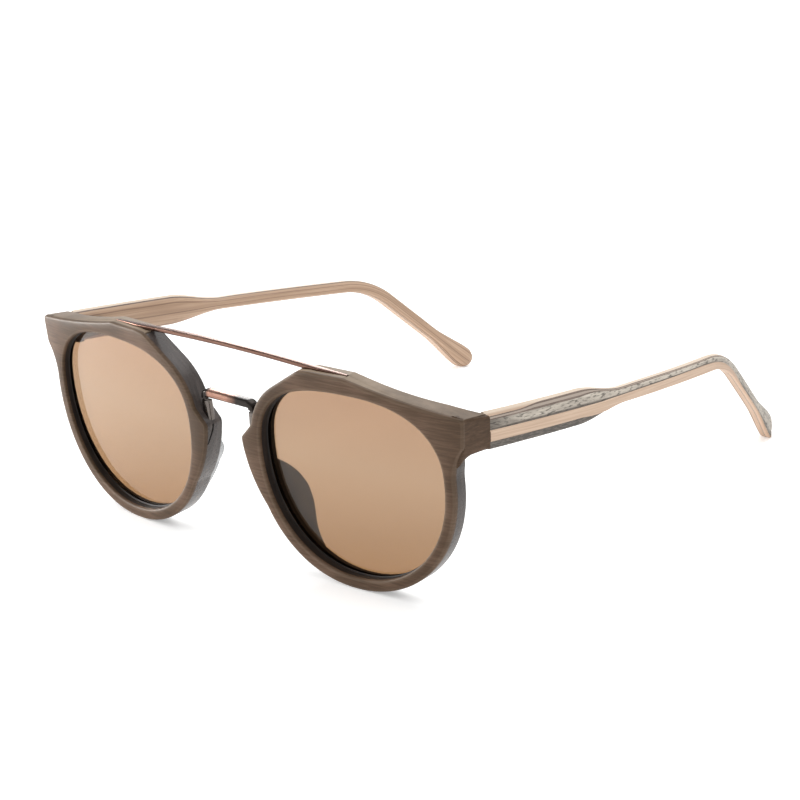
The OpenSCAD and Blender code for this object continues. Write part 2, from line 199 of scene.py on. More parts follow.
def linked(name, data):
    obj = bpy.data.objects.new(name, data)
    bpy.context.collection.objects.link(obj)
    return obj


def placed(name, mesh, sharp=40):
    """A smoothly shaded object at the origin, with creases where faces meet at a sharper angle."""
    mesh.shade_smooth()
    mesh.set_sharp_from_angle(angle=math.radians(sharp))
    return linked(name, mesh)


def piece(name, points, faces, sharp=40, **marks):
    """A closed object with its normals outward."""
    mesh = marked(name, points, [], faces, marks)
    shell = bmesh.new()
    shell.from_mesh(mesh)
    bmesh.ops.recalc_face_normals(shell, faces=shell.faces)
    shell.to_mesh(mesh)
    shell.free()
    return placed(name, mesh, sharp)


def tube(rows, n, closed=True):
    """Quads between neighbouring rows of n points each; the points of a row form a loop."""
    last = rows if closed else rows - 1
    return [(j*n + i, j*n + (i + 1) % n, (j + 1) % rows*n + (i + 1) % n, (j + 1) % rows*n + i)
            for j in range(last) for i in range(n)]


def loft(name, loops, **options):
    """Loops of equal length joined into a skin and closed at both ends."""
    n, rows = len(loops[0]), len(loops)
    ends = [tuple(range(n)), tuple(range((rows - 1)*n, rows*n))]
    return piece(name, np.concatenate(loops), tube(rows, n, closed=False) + ends, **options)


def pair(key, name, loops, **options):
    """The same loft on the left and, mirrored, on the right."""
    for side, sign in SIDES.items():
        pieces[side + key] = loft(side + name, [loop*[sign, 1, 1] for loop in loops], **options)


def rings(key, edge, rows):
    """A ring on either side. A row: share of the way out, mm added, depth surface, mm behind it, and a mark
    of wear and painted shade.
    """
    inner = partners(edge)
    across = edge - inner
    way = across/np.linalg.norm(across, axis=1, keepdims=True)
    layers, wear = [], []
    for share, more, surface, behind, wear_and_shade_value in rows:
        layers.append(laid(inner + across*share + way*more, surface, behind))
        wear.append(np.full(len(edge), wear_and_shade_value))
    for side, sign in SIDES.items():
        pieces[side + key] = piece(side + key, np.concatenate(layers)*[sign, 1, 1],
                                   tube(len(rows), len(edge)), wear=np.concatenate(wear))


def turned(share, radius, surface, behind, way, wear_and_shade_value):
    """Rows that round an edge by a quarter circle: share 0 is the opening, share 1 the outer edge."""
    rows = [(share, (1 - 2*share)*radius*(1 - math.cos(q)), surface,
             behind + way*radius*(1 - math.sin(q)), wear_and_shade_value) for q in np.radians([0, 22.5, 45, 67.5, 90])]
    return rows[::-1] if share else rows


print("Loft helpers ready")

# %% [markdown]
# ## Wooden faces
# The face is a millimetre of walnut glued on the acetate. Its front edges are rounded by hand, which
# shows as a soft light line, so the rows turn through a quarter circle at both edges.

# %% Loft the wooden faces
EDGE_R, EDGE_SET, EDGE_WEAR, DISH, DISH_IN = 0.5, 0.1, 0.15, 0.04, 0.35
rings("_wood_face", rim_edge, [
    (0, 0, face, FACE_T, 0), *turned(0, EDGE_R, face, EDGE_SET, 1, EDGE_WEAR),
    (0, EDGE_R + DISH_IN, face, DISH, 0), (0.5, 0, face, 0, 0), (1, -EDGE_R - DISH_IN, face, DISH, 0),
    *turned(1, EDGE_R, face, EDGE_SET, 1, EDGE_WEAR), (1, 0, face, FACE_T, 0)])
print("Wooden faces: %d points each" % len(pieces["left_wood_face"].data.vertices))

# %% [markdown]
# ## Wood over the brow
# Along the brow the walnut also covers the top. It is a strip whose section changes: a slot for the end
# of the brow bar runs along its inner third, a hair wider than the bar so that a thin dark line shows
# beside it, and towards the temple the strip widens to roof the endpiece and the hinge. The section is
# drawn as a loop and lofted along the brow.

# %% Loft the wood over the brow
SEAT_X, CAP_T, SLOT_PLAY, SLOT_MIN, BAR_TAPER, BAR_TIP = 67.1, 1.3, 0.1, 0.2, 8.0, 0.7
CAP_END, CAP_LAP, CAP_R = SEAT_X + 2.7, 0.3, 0.5
WIDEN_FROM, WIDEN_POWER, WIDEN_BY = 44, 2.2, 4.3
ROOF_SLOPE, ROOF_DROP, DROP_FROM, DROP_RUN, BUTT_GAP = 0.15, 0.5, 62, 7, 0.06
BUTT_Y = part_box("left_endpiece")[1][1]/MM
ARCH_R = (BAR_END**2 + BAR_RISE**2)/(2*BAR_RISE)
cap_x = np.concatenate([np.linspace(BROW_FROM, BAR_END, 40), BAR_END + np.array([0.1, 0.3]),
                        np.linspace(BAR_END + 1, CAP_END, 44)])
cap_h = np.interp(cap_x, *brow_path[np.argsort(brow_path[:, 0])].T)
cap_y = face(cap_x) + FACE_T
narrow = np.clip((cap_x - BAR_END + BAR_TAPER)/BAR_TAPER, 0, 1)
slot_front = np.maximum(BAR_Y + (BAR_D - BAR_TIP)*narrow - SLOT_PLAY, cap_y + SLOT_MIN)
slot_back = np.maximum(BAR_Y + BAR_D + SLOT_PLAY, slot_front + SLOT_MIN)
slot_floor = np.where(cap_x > BAR_END + 0.2, cap_h - 0.02, BAR_TOP - sag(ARCH_R, cap_x) - BAR_H)
rear = back(cap_x) + WIDEN_BY*np.clip((cap_x - WIDEN_FROM)/(CAP_END - WIDEN_FROM), 0, 1)**WIDEN_POWER
rear_h = cap_h - ROOF_SLOPE*(rear - back(cap_x)) - ROOF_DROP*np.clip((cap_x - DROP_FROM)/DROP_RUN, 0, 1)
rear = np.minimum(rear, (BUTT_Y - BUTT_GAP - apex_y + rear_h*math.sin(LEAN))/math.cos(LEAN))
cap_section = [on_front(cap_x, y, h) for y, h in (
    (cap_y - CAP_LAP, cap_h - CAP_T), (cap_y - CAP_LAP, cap_h - 0.1), (cap_y, cap_h), (slot_front, cap_h),
    (slot_front, slot_floor), (slot_back, slot_floor), (slot_back, cap_h), (rear - CAP_R, rear_h),
    (rear - 0.3*CAP_R, rear_h - 0.3*CAP_R), (rear, rear_h - CAP_R), (rear, rear_h - CAP_T))]
cap_wear = np.interp(cap_x, [BAR_END, SEAT_X - 4], [1, 0.55])
pair("_cap", "_walnut_brow", list(np.stack(cap_section, axis=1)), sharp=25,
     wear=np.repeat(cap_wear, len(cap_section)))
print("Wood over the brow: %.1f mm long, %.1f mm thick" % (np.ptp(cap_x), CAP_T))

# %% [markdown]
# ## Acetate backs
# Behind the wood the rim is acetate, cut off where the wooden endpiece begins. From the front the wall
# of the opening shows a small lip in front of the lens, which stands in a groove behind that lip.

# %% Loft the acetate backs
LIP, GROOVE, PLAY, SEAT_PLAY, BACK_IN_R, BACK_OUT_R = 0.22, 0.9, 0.05, 0.02, 0.4, 0.7
LIP_AND_GROOVE = ((0, -0.5), (-LIP, -0.36), (-LIP, -0.18), (0, -PLAY), (GROOVE, -PLAY),
                  (GROOVE, LENS_T + PLAY), (0, LENS_T + PLAY))
edge_x, edge_h = rim_edge.T.copy()
brow = edge_h > np.interp(edge_x, [BROW_FROM, CORNER[0]], [BROW_H - 3.5, CORNER[1] - 1])
edge_h -= brow*CAP_T*np.clip((edge_x - BROW_FROM + 0.1)/0.4, 0, 1)
edge_x = np.minimum(edge_x, SEAT_X - SEAT_PLAY)
# In the acetate rows the last value is 0 on the wall of the opening, which the acetate finish paints near
# black as shade, and 1 outside.
rings("_acetate", even(np.stack([edge_x, edge_h], -1), ROUND_N), [
    (0, 0, face, FACE_T, 0), *((0, more, lens_front, behind, 0) for more, behind in LIP_AND_GROOVE),
    *turned(0, BACK_IN_R, back, 0, -1, 0), (0.5, 0, back, 0, 1),
    *turned(1, BACK_OUT_R, back, 0, -1, 1), (1, 0, face, FACE_T, 1)])
print("Acetate backs: %d points each" % len(pieces["left_acetate"].data.vertices))

# %% [markdown]
# ## Lenses
# A lens is a thin curved sheet, cut a little larger than the opening so that its edge sits in the
# groove. Rings of points on the front and back surface make a clean closed shell that bends light
# evenly; a flat disc would show straight reflections.

# %% Make the lenses
LENS_RINGS, LENS_N, CENTRE_RING = 14, 240, 0.2
lens_edge = even(opening(np.arange(0.0, 360.0, 0.5), GROOVE - PLAY), LENS_N)
middle = np.array([LENS_X, WAIST_H])
layers = [middle + (lens_edge - middle)*max(k, CENTRE_RING)/LENS_RINGS for k in range(LENS_RINGS + 1)]
pair("_lens", "_brown_lens",
     [laid(p, lens_front) for p in layers] + [laid(p, lens_front, LENS_T) for p in layers[::-1]])
print("Lenses: %.1f mm wide, %.1f mm thick" % (np.ptp(lens_edge[:, 0]), LENS_T))

# %% [markdown]
# ## Nose pads
# Each pad is a fin of acetate that grows out of the back of the rim along its nose edge, splayed away
# from the nose, and fades into the rim at both ends. It is lofted along that edge: the reach changes
# from station to station, and the section is a wedge with a round tip. A separate pebble glued on would
# show a step where the tumbled surface runs on from rim to pad.

# %% Make the nose pads
PAD_SPLAY, PAD_ROOT, PAD_TIP_R, PAD_SINK = math.radians(26), 2.5, 0.85, 1.2
PAD_IN, PAD_TIP_IN, PAD_N, PAD_MARK = 0.15, 0.1, 76, 2.0
PAD_REACH = ((4.5, -0.25), (6.5, 0.5), (7.8, 1.6), (10.8, 3.9), (13.8, 5.1), (17.5, 5.6), (21.8, 5.1),
             (24.8, 4.1), (28.1, 2.7), (30.8, 1.8), (33.6, 1.0), (36.0, 0.4), (39.0, -0.25))
nose_edge = np.concatenate([lug_curve, opening(np.arange(LUG_AT + 1, 272.0), RIM_W)])
pad_at = np.linspace(PAD_REACH[0][0], PAD_REACH[-1][0], PAD_N)
pad_line = along(pad_at, lengths(nose_edge), nose_edge)
way = np.gradient(pad_line, axis=0)
inward = np.stack([-way[:, 1], way[:, 0]], -1)/np.linalg.norm(way, axis=1, keepdims=True)
reach = np.interp(pad_at, *zip(*PAD_REACH))
for _ in range(6):
    reach[1:-1] = (reach[:-2] + 2*reach[1:-1] + reach[2:])/4
half_turn = np.radians(np.linspace(180, 0, 11))
pad_loops = []
for p, n, r in zip(pad_line, inward, reach):
    tip = np.array([PAD_TIP_IN + PAD_TIP_R + r*math.tan(PAD_SPLAY), r - PAD_TIP_R])
    round_tip = tip + PAD_TIP_R*np.stack([np.cos(half_turn), np.sin(half_turn)], -1)
    section = np.concatenate([
        np.linspace((PAD_IN, -PAD_SINK), round_tip[0], 7, endpoint=False), round_tip,
        np.linspace((PAD_ROOT, -PAD_SINK), round_tip[-1], 7, endpoint=False)[::-1]])
    pad_loops.append(laid(p + n*section[:, :1], back, section[:, 1]))
pair("_pad", "_acetate_pad", pad_loops, wear=np.full(len(pad_loops)*len(pad_loops[0]), PAD_MARK))
print("Nose pads: %.1f mm of reach, splayed by %.0f degrees" % (reach.max(), math.degrees(PAD_SPLAY)))

# %% [markdown]
# ## Endpieces
# The endpiece is the block of walnut behind the outer corner of the face, which the temple butts
# against. Its front section follows the face and its rear section is the temple's rectangle, so it is
# a loft between the two. Below, it sweeps into the rim in a small hollow.

# %% Make the endpieces
leaf_low, leaf_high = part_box("left_temple_leaf")
hinge_z = (leaf_low[2] + leaf_high[2])/2/MM
ARM_H, BUTT_X, arm_z = 8.0, 70.97, hinge_z + 1.0
arm_top, arm_low = arm_z + ARM_H/2 - 0.3, arm_z - ARM_H/2
BLOCK_COUNTS, BLOCK_LAP, BUTT_EDGE = (10, 14, 10, 10, 14), 0.15, [0.1, 0, 0.05]
FRONT_CORNERS = [(SEAT_X - 0.6, 47.8), CORNER, FLARE, (68.3, 36.4), (SEAT_X, 35.2)]
REAR_CORNERS = [(SEAT_X, arm_top), (BUTT_X, arm_top), (BUTT_X, arm_low), (69.2, arm_low), (SEAT_X, arm_low)]
HOLLOW_UP, HOLLOW_FADE, HOLLOW_POWER = 1.6, 2.0, 4


def block_loop(corners):
    """A loop through the corners with a fixed number of points on each side."""
    loop = corners + corners[:1]
    return sanded(np.concatenate([np.linspace(a, b, n, endpoint=False)
                                  for a, b, n in zip(loop, loop[1:], BLOCK_COUNTS)]), 2)


front_loop, rear_loop = block_loop(FRONT_CORNERS), block_loop(REAR_CORNERS)
start = laid(front_loop, face, FACE_T - BLOCK_LAP)/MM
end = np.stack([rear_loop[:, 0], np.full(len(rear_loop), BUTT_Y), rear_loop[:, 1]], -1)
below = np.clip((arm_low + HOLLOW_UP - start[:, 2])/HOLLOW_FADE, 0, 1)[:, None]
layers = []
for t in np.concatenate([np.linspace(0, 0.94, 14), [0.985, 1.0]]):
    p = start + (end - start)*(t*(1 - below) + (1 - (1 - t)**HOLLOW_POWER)*below)
    p[:, 1] = start[:, 1] + (end[:, 1] - start[:, 1])*t
    layers.append(p*MM)
layers[-1] = layers[-1] + (layers[-1].mean(axis=0) - layers[-1])*BUTT_EDGE
pair("_endpiece", "_walnut_endpiece", layers,
     wear=np.repeat([0.0]*(len(layers) - 1) + [0.5], len(start)))
print("Endpieces: %.1f mm from the face to the temple" % (BUTT_Y - start[:, 1].mean()))

# %% [markdown]
# ## A helper for nodes
# Geometry and materials below are both node trees. One small function adds a node, sets its options
# and fills its inputs with values or with links from other nodes. A map range takes a value, the range
# that it comes in and the range that it goes out in. The noise that wood, metal and acetate share is
# drawn out along the grain, so its lumps are given in millimetres along each axis.

# %% Add a node


def linear(code):
    """A colour written as sRGB hex, as the linear values that shaders use."""
    values = [int(code[i:i + 2], 16)/255 for i in (0, 2, 4)]
    return [v/12.92 if v <= 0.04045 else ((v + 0.055)/1.055)**2.4 for v in values] + [1.0]


def fill(tree, node, inputs):
    """Gives inputs, by name or in order, a value or a link from a socket or a node's first live output."""
    for key, value in inputs.items() if isinstance(inputs, dict) else enumerate(inputs):
        if isinstance(value, bpy.types.Node):
            value = next(socket for socket in value.outputs if socket.enabled)
        if isinstance(value, bpy.types.NodeSocket):
            tree.links.new(value, node.inputs[key])
        else:
            node.inputs[key].default_value = value


def add(tree, kind, inputs=(), stops=(), **options):
    """Adds a node. A short kind is one of the tree's own; stops are a ramp's places and hex colours."""
    node = tree.nodes.new(kind if "Node" in kind else tree.type.title() + "Node" + kind)
    for option, value in options.items():
        setattr(node, option, value)
    for _ in stops[2:]:
        node.color_ramp.elements.new(0.5)
    for i, (position, code) in enumerate(stops):
        node.color_ramp.elements[i].position = position
        node.color_ramp.elements[i].color = linear(code)
    fill(tree, node, inputs)
    return node


def drawn_out(tree, where, lumps, **settings):
    """Noise whose lumps have these sizes in mm along the three axes; 0 leaves an axis out."""
    at = add(tree, "Mapping", {"Vector": where, "Scale": [1/(mm*MM) if mm else 0 for mm in lumps]})
    return add(tree, "TexNoise", {"Vector": at, "Scale": 1.0, **settings})


def finish(name, mark=None):
    """A finish, its tree and shader, and the place that patterns follow: the object's own or a mark."""
    material = bpy.data.materials.new(name)
    material.use_nodes = True
    tree = material.node_tree
    source = add(tree, "Attribute", attribute_name=mark) if mark else add(tree, "TexCoord")
    return material, tree, tree.nodes["Principled BSDF"], source.outputs["Vector" if mark else "Object"]


print("Node helpers ready")

# %% [markdown]
# ## Walnut
# The face and the endpieces are walnut veneer, sanded and oiled: a dull grey-brown with fine grain that
# runs across the face, darker pores a few millimetres long, and paler edges where the sanding cut
# through the stain. Noise stretched along x gives both, from the object's own coordinates.

# %% Walnut, sanded and oiled
# To the eye: matt brown with fine streaks, no mirror reflections.
walnut, tree, shader, place = finish("walnut_oiled")
WALNUT_GRAIN, WALNUT_PORES, WALNUT_CLOUDS = (11.0, 2.0, 0.45), (3.5, 1.0, 0.24), 14
streak = drawn_out(tree, place, WALNUT_GRAIN, Detail=5.0, Roughness=0.6)
pores = drawn_out(tree, place, WALNUT_PORES, Detail=2.0)
clouds = add(tree, "TexNoise", {"Vector": place, "Scale": 1/(WALNUT_CLOUDS*MM), "Detail": 2.0})
tone = add(tree, "Math", (streak, clouds), operation="ADD")
tone = add(tree, "Math", (tone, 0.5), operation="MULTIPLY")
brown = add(tree, "ValToRGB", [tone], ((0.38, "443426"), (0.5, "513e2f"), (0.62, "614c3d")))
pale = add(tree, "ValToRGB", [tone], ((0.36, "786857"), (0.64, "968572")))
dark = add(tree, "MapRange", (pores, 0.58, 0.72, 0, 0.35))
wear_and_shade_value = add(tree, "Attribute", attribute_name="wear").outputs["Fac"]
colour = brown
for cover, wood in ((dark, linear("392b20")), (wear_and_shade_value, pale)):
    colour = add(tree, "Mix", {0: cover, 6: colour, 7: wood}, data_type="RGBA")
dull = add(tree, "MapRange", (streak, 0, 1, 0.4, 0.54))
relief = add(tree, "Math", (streak, dark), operation="SUBTRACT")
bump = add(tree, "Bump", {"Height": relief, "Strength": 0.25, "Distance": 0.1*MM})
fill(tree, shader, {"Base Color": colour, "Roughness": dull, "Normal": bump, "Specular IOR Level": 0.15})
print("Walnut grain: %.0f mm long, %.2f mm wide" % (WALNUT_GRAIN[0], WALNUT_GRAIN[2]))

# %% [markdown]
# ## Acetate
# The rims and pads are cellulose acetate with the cloudy streaks of the sheet that it was cut from. The
# wall of the opening is cut matt and painted almost black, as shade in the recess of the opening; outside,
# the tumbling leaves a smoke-grey bloom, and the handled pads are paler and cooler. The mark called wear says
# which: 0, 1 or 2.

# %% Acetate, tumbled
# To the eye: dark grey with broad soft highlights and faint cloudy streaks.
acetate, tree, shader, place = finish("acetate_tumbled")
SHEET_STREAKS, POLISH_MARKS = (5, 0.9, 7), 1.2
outside = add(tree, "Attribute", attribute_name="wear").outputs["Fac"]
on_pad = add(tree, "Math", (outside, 1.0), operation="SUBTRACT")
smoke = drawn_out(tree, place, SHEET_STREAKS, Detail=3.0)
# The first ramp is painted shade: near black for the recessed wall of the opening. The second is the
# acetate's grey outside, the third the pads' cooler grey.
painted_wall_shade, grey, cool = (add(tree, "ValToRGB", [smoke], stops) for stops in (
    ((0.35, "1c1715"), (0.75, "2e2724")), ((0.35, "413b38"), (0.55, "4b4441"), (0.75, "574f4b")),
    ((0.35, "5f6164"), (0.75, "787a7d"))))
colour = add(tree, "Mix", {0: outside, 6: painted_wall_shade, 7: grey}, data_type="RGBA")
colour = add(tree, "Mix", {0: on_pad, 6: colour, 7: cool}, data_type="RGBA")
polish = add(tree, "TexNoise", {"Vector": place, "Scale": 1/(POLISH_MARKS*MM), "Detail": 2.0})
gloss = add(tree, "MapRange", (polish, 0, 1, 0.22, 0.34))
cut_wall = add(tree, "MapRange", (outside, 0, 1, 0.32, 0.0))
gloss = add(tree, "Math", (gloss, cut_wall), operation="ADD")
fill(tree, shader, {"Base Color": colour, "Roughness": gloss, "IOR": 1.48, "Specular IOR Level": 0.3})
print("Acetate streaks: %.1f mm apart through the sheet" % SHEET_STREAKS[1])

# %% [markdown]
# ## Brown lens
# The lens is a tinted polymer sheet: clear, glossy, and brown all through. A glass shader whose colour
# is the tint shows the white table and the nose pads through it, as on the real lens; the colour is a
# little darker towards the bottom, painted shade for the table's shadow seen through the lens.

# %% Tinted lens
# To the eye: clear brown, the surface behind shows through. The coating against glare takes a third of
# the reflection away, so the IOR is below that of the bare polymer.
lens_brown, tree, shader, place = finish("lens_tinted_brown")
height = add(tree, "SeparateXYZ", [place]).outputs["Z"]
level = add(tree, "MapRange", (height, 3*MM, 48*MM))
# The darker stop at the bottom is painted shade for the shadowed table seen through the lens.
tint_and_low_shade = add(tree, "ValToRGB", [level], ((0.0, "947150"), (0.6, "9b7f65"), (1.0, "99795f")))
fill(tree, shader, {"Base Color": tint_and_low_shade, "Transmission Weight": 1.0, "Roughness": 0.02, "IOR": 1.4})
print("Lens tint: three steps from the bottom to the top")

# %% [markdown]
# ## Copper plate and gunmetal
# The bar and the bridge are nickel silver strip, plated with copper and brushed. The feet of the bridge
# have a dark gunmetal plate, which is also painted over the left (near) half of the span as shade where
# the strip turns from the light. Lower down the feet are painted lighter grey, a painted reflection of the
# white surround, and their ends are painted almost black, the shadow in their slots. One
# material can hold all of these: the place on the object says which of them shows.

# %% Plated metal
# To the eye: satin rose copper with fine brush lines, dark and grey towards the feet.
copper, tree, shader, place = finish("copper_plate_brushed")
BRUSH_LINES, METAL_GRAIN = (9, 0.15, 0.15), 0.4
FOOT_PLACES = ("X", 0, 3.5), ("X", -6.0, -6.8), ("Z", 46, 45), ("Z", 38.2, 37.4), ("Z", 32.4, 32.1)
lines = drawn_out(tree, place, BRUSH_LINES, Detail=3.0)
antique, bright, steel, reflection_grey = (add(tree, "ValToRGB", [lines], stops) for stops in (
    ((0.3, "573f36"), (0.5, "6a4f44"), (0.7, "826457")), ((0.3, "825e50"), (0.5, "957061"), (0.7, "a98877")),
    ((0.3, "272422"), (0.7, "3b3633")), ((0.3, "57514d"), (0.7, "736c67"))))
axes = add(tree, "SeparateXYZ", [place]).outputs
# The mask on the left side starts at x = 0, so steel also covers the near half of the span as painted shade;
# the mask below 37.4 mm paints the feet lighter grey as painted reflection, and the one below 32.1 mm paints
# the ends near black as painted shadow in their slots.
left_leg_and_shaded_span, right_leg, low, sole_reflection, slot_shadow = (
    add(tree, "MapRange", (axes[axis], begin*MM, full*MM))
    for axis, begin, full in FOOT_PLACES)
legs_and_shaded_span = add(tree, "Math", (left_leg_and_shaded_span, right_leg), operation="MAXIMUM")
legs_and_shaded_span = add(tree, "Math", (low, legs_and_shaded_span), operation="MULTIPLY")
colour = antique
for cover, plate in ((low, bright), (legs_and_shaded_span, steel), (sole_reflection, reflection_grey), (slot_shadow, linear("141110"))):
    colour = add(tree, "Mix", {0: cover, 6: colour, 7: plate}, data_type="RGBA")
satin = add(tree, "MapRange", (lines, 0, 1, 0.16, 0.3))
bump = add(tree, "Bump", {"Height": lines, "Strength": 0.08, "Distance": 0.05*MM})
fill(tree, shader, {"Base Color": colour, "Roughness": satin, "Normal": bump, "Metallic": 1.0})

# To the eye: dark grey satin metal with a fine grain.
gunmetal, tree, shader, place = finish("gunmetal_plate")
fine = add(tree, "TexNoise", {"Vector": place, "Scale": 1/(METAL_GRAIN*MM), "Detail": 3.0})
colour = add(tree, "ValToRGB", [fine], ((0.3, "4a4541"), (0.7, "6a635d")))
satin = add(tree, "MapRange", (fine, 0, 1, 0.28, 0.46))
fill(tree, shader, {"Base Color": colour, "Roughness": satin, "Metallic": 1.0})
print("Plated metals ready")

# %% [markdown]
# ## Brow bar and bridge
# Both are strips that follow a path: the bar is a flat arch along the brow and narrows where it is let
# into the rims, the bridge bends down into two feet. One Geometry Nodes tree sweeps a rounded
# rectangle along either path and takes the narrowing from a value stored on the path's points.

# %% Sweep the strips


def new_tree(name, *sizes):
    """A Geometry Nodes tree with named inputs, and the sockets that give them inside it."""
    tree = bpy.data.node_groups.new(name, "GeometryNodeTree")
    for size, kind in sizes:
        tree.interface.new_socket(size, in_out="INPUT", socket_type="NodeSocket" + kind)
    tree.interface.new_socket("Geometry", in_out="OUTPUT", socket_type="NodeSocketGeometry")
    return tree, tree.nodes.new("NodeGroupInput").outputs


def end_tree(tree, geometry, material):
    """Each tree ends in real geometry that has its material, because the export drops instances."""
    real = add(tree, "RealizeInstances", {"Geometry": geometry})
    dressed = add(tree, "SetMaterial", {"Geometry": real, "Material": material})
    add(tree, "NodeGroupOutput", {"Geometry": dressed})


def grown(name, tree, sizes, points, edges=(), **marks):
    """Runs a tree on some points in mm and keeps the result as a plain mesh at the origin."""
    source = linked(name + "_points", marked(name, np.asarray(points)*MM, edges, [], marks))
    growth = source.modifiers.new("grow", "NODES")
    growth.node_group = tree
    for item in tree.interface.items_tree:
        if item.name in sizes:
            growth[item.identifier] = sizes[item.name]
    source.update_tag()
    seen = source.evaluated_get(bpy.context.evaluated_depsgraph_get())
    mesh = bpy.data.meshes.new_from_object(seen)
    bpy.data.objects.remove(source)
    mesh.name = name
    return placed(name, mesh)


strip, given = new_tree("strip_along_a_path", ("Path", "Geometry"), ("Depth", "Float"), ("Height", "Float"),
                        ("Rounding", "Float"), ("Material", "Material"))
path = add(strip, "MeshToCurve", {"Mesh": given["Path"]})
upright = add(strip, "SetCurveNormal", {"Curve": path}, mode="Z_UP")
girth = add(strip, "InputNamedAttribute", {"Name": "girth"}, data_type="FLOAT")
section = add(strip, "CurvePrimitiveQuadrilateral", {"Width": given["Depth"], "Height": given["Height"]})
rounded = add(strip, "FilletCurve", {"Curve": section, "Count": 5, "Radius": given["Rounding"]}, mode="POLY")
swept = add(strip, "CurveToMesh", {
    "Curve": upright, "Profile Curve": rounded, "Scale": girth, "Fill Caps": True})
end_tree(strip, swept, given["Material"])


def sweep(name, path_points, girths, depth, height, rounding):
    edges = [(i, i + 1) for i in range(len(path_points) - 1)]
    sizes = {"Depth": depth*MM, "Height": height*MM, "Rounding": rounding*MM, "Material": copper}
    obj = grown(name, strip, sizes, path_points, edges, girth=girths)
    obj.data.transform(LEANING)
    return obj


BAR_ROUND = 0.3
bar_x = np.linspace(-BAR_END, BAR_END, 97)
thin = 1 - (1 - BAR_TIP/BAR_D)*np.clip((np.abs(bar_x) - BAR_END + BAR_TAPER)/BAR_TAPER, 0, 1)
bar_z = BAR_TOP - sag(ARCH_R, bar_x) - BAR_H*thin/2
bar_path = np.stack([bar_x, BAR_Y + BAR_D*(1 - thin/2), bar_z], -1)
pieces["bar"] = sweep("copper_brow_bar", bar_path, thin, BAR_D, BAR_H, BAR_ROUND)

BRIDGE_H, BRIDGE_D, BRIDGE_Y, BRIDGE_ROUND, BRIDGE_DROP, BEND_R, LEG_X = 2.0, 2.6, 2.2, 0.7, 11.7, 1.3, 7.9
FOOT, KNEE = np.array([LEG_X, 30.2]), np.array([LEG_X, BROW_H - BRIDGE_DROP - BRIDGE_H/2])
FOOT_GIRTH = ((FOOT[1], 1.0), (31.4, 1.08), (37.5, 0.92), (KNEE[1], 1.0))
t = np.linspace(0, 1, 13)[:, None]
bend_from, bend_to = KNEE - [0, BEND_R], KNEE - [BEND_R, 0]
bend = (1 - t)**2*bend_from + 2*t*(1 - t)*KNEE + t**2*bend_to
half_path = np.concatenate([np.linspace(FOOT, bend_from, 10, endpoint=False), bend])
span = np.concatenate([half_path, (half_path*[-1, 1])[::-1]])
bridge_path = np.stack([-span[:, 0], np.full(len(span), BRIDGE_Y + BRIDGE_D/2), span[:, 1]], -1)
girths = np.interp(span[:, 1], *zip(*FOOT_GIRTH))
pieces["bridge"] = sweep("copper_bridge", bridge_path, girths, BRIDGE_D, BRIDGE_H, BRIDGE_ROUND)
print("Bar %.1f mm long, bridge %.1f mm wide" % (2*BAR_END, np.ptp(bridge_path[:, 0])))

# %% [markdown]
# ## Ends of the bridge's feet
# Below each foot its end shows in the nose edge as a narrow dark line that curves forward. It is a thin
# tapered bar, sunk into the acetate so that only a hair stands out, and it becomes part of the bridge,
# whose finish paints it almost black as the shadow in its slot.
# A painted line would leave no edge for the light to catch.

# %% Add the ends of the feet
END_LINE = np.array([(6.1, 2.9, 31.7), (6.25, 2.54, 29.95), (6.59, 1.76, 28.09), (6.89, 1.19, 26.79)])
END_W, END_PROUD, END_DEEP = 0.26, 0.07, 0.4
end_way = np.linspace(0, len(END_LINE) - 1, 19)
end_line = along(end_way, range(len(END_LINE)), END_LINE)
end_half = np.interp(end_way, [0, 1, 3], [0.8*END_W, END_W, 0.6*END_W])
pair("_foot_end", "_foot_end", [
    on_front(x + np.array([-END_PROUD, -END_PROUD, END_DEEP, END_DEEP]), y + w*np.array([-1, 1, 1, -1]),
             np.full(4, h)) for (x, y, h), w in zip(end_line, end_half)])
whole = bmesh.new()
for part in [pieces["bridge"]] + [pieces.pop(side + "_foot_end") for side in SIDES]:
    whole.from_mesh(part.data)
    if part != pieces["bridge"]:
        bpy.data.objects.remove(part)
whole.to_mesh(pieces["bridge"].data)
whole.free()
print("Bridge with its ends: %d points" % len(pieces["bridge"].data.vertices))

# %% [markdown]
# ## Temples: how they run
# From the side a temple falls slightly, bends over the ear and drops to a round tip; it is tall at the
# hinge, slim after a taper, and flares at the tip. From above it is a long arc. Both come from short
# rules of the length along the temple.

# %% The line and height of a temple
ARM_LEN, ARM_FALL, EAR_DROP, EAR_R = 97.0, math.radians(5.6), math.radians(40.5), 30.0
SLIM_H, TAPER_FROM, TAPER_TO = 3.3, 33.0, 52.0
TIP_R, TIP_FLARE, TIP_SLIM = 3.0, 16.0, 0.85
ARM_T, OUTER_X, CURVE_R = 4.2, 71.3, 520.0
ARM_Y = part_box("left_core_ply")[0][1]/MM
CURVE_Y = BUTT_Y + 18.5
SEAT_END = leaf_high[1]/MM
bend_len = EAR_R*(EAR_DROP - ARM_FALL)
drop_z = arm_z - ARM_LEN*math.sin(ARM_FALL) - EAR_R*(math.cos(ARM_FALL) - math.cos(EAR_DROP))
path_len = ARM_LEN + bend_len + (drop_z - TIP_R)/math.sin(EAR_DROP)


def ease(t):
    t = np.clip(t, 0, 1)
    return t*t*(3 - 2*t)


